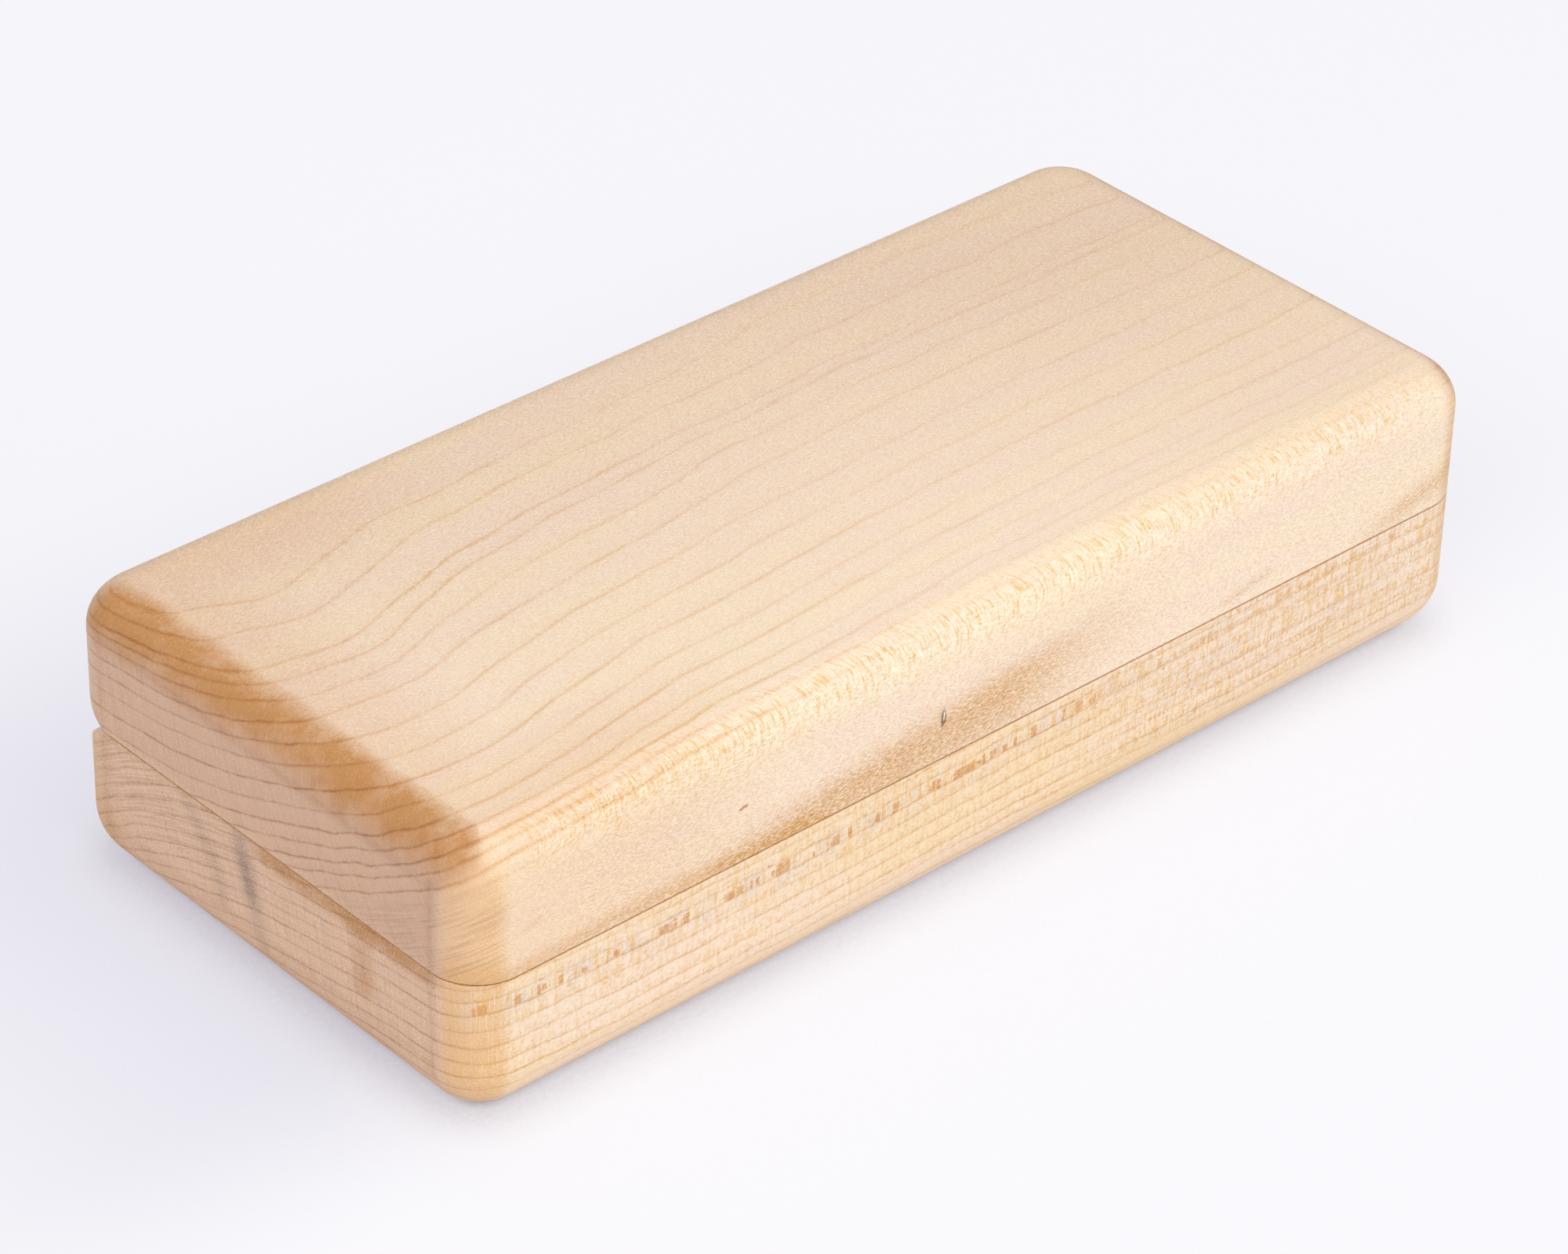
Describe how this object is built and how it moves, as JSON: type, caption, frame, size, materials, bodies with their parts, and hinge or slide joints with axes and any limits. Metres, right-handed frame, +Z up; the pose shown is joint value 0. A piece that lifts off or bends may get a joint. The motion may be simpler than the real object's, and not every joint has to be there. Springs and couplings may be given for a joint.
{
  "type": "glasses case",
  "caption": "Oblong solid-wood glasses case with rounded edges and corners, a back-hinged lid, hidden magnets and a felt-lined pocket in each half.",
  "frame": {"origin": "middle of the flat underside, on the surface that the case stands on", "axes": "+X along the case's length, +Y from the front to the hinge side at the back, +Z up through the lid"},
  "size_m": [0.168, 0.077, 0.04],
  "materials": {
    "maple": "pale hard maple, finely sanded, satin oil finish",
    "brass": "drawn brass, lightly polished",
    "magnet": "nickel-plated disc magnet",
    "felt": "dense wool felt, charcoal"
  },
  "bodies": {
    "base": {"base": "maple", "base_floor_felt": "felt", "base_wall_felt": "felt", "base_magnet_left": "magnet", "base_magnet_right": "magnet", "hinge_left_base_leaf": "brass", "hinge_left_pin": "brass", "hinge_left_base_screw_1": "brass", "hinge_left_base_screw_2": "brass", "hinge_right_base_leaf": "brass", "hinge_right_pin": "brass", "hinge_right_base_screw_1": "brass", "hinge_right_base_screw_2": "brass"},
    "lid": {"lid": "maple", "lid_floor_felt": "felt", "lid_wall_felt": "felt", "lid_magnet_left": "magnet", "lid_magnet_right": "magnet", "hinge_left_lid_leaf": "brass", "hinge_left_lid_screw_1": "brass", "hinge_left_lid_screw_2": "brass", "hinge_right_lid_leaf": "brass", "hinge_right_lid_screw_1": "brass", "hinge_right_lid_screw_2": "brass"}
  },
  "joints": [
    {"name": "lid_hinge", "type": "hinge", "parent": "base", "child": "lid", "pos_m": [0, 0.0345, 0.02115], "axis": [-1, 0, 0], "range_deg": [0, 115]}
  ]
}
